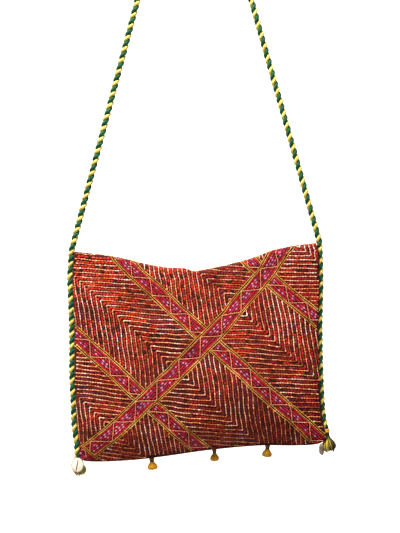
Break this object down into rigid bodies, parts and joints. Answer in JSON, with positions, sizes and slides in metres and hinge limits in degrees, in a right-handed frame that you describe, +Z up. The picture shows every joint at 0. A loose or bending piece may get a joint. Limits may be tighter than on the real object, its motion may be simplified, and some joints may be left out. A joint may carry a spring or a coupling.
{
  "type": "cotton flap bag on rope strap",
  "caption": "Flat cloth shoulder bag with an embroidered flap folded over its mouth, edged and hung by a twisted two-colour rope, with yarn bobbles and shells.",
  "frame": {"origin": "where the underside of the strap lies on what it hangs from", "axes": "+Z up, +X to the right as seen from the flap's side, the flap faces -Y"},
  "size_m": [0.3186, 0.0475, 0.7528],
  "materials": {
    "plain_cotton": "woven, matte",
    "embroidered_cotton": "covered with cotton embroidery, matte",
    "twisted_rope": "two plies, green and yellow, matte",
    "yellow_yarn": "bound yarn, matte",
    "green_yarn": "loose yarn, matte",
    "cowrie_shell": "polished shell"
  },
  "bodies": {
    "root": {"pouch": "plain_cotton", "flap_and_back": "embroidered_cotton", "side_rope_left": "twisted_rope", "side_rope_right": "twisted_rope", "strap_rope": "twisted_rope", "bobble_left": "yellow_yarn", "bobble_middle": "yellow_yarn", "bobble_right": "yellow_yarn", "tassel_left": "green_yarn", "tassel_right": "green_yarn", "cowrie_left": "cowrie_shell", "cowrie_right": "cowrie_shell"}
  },
  "joints": []
}
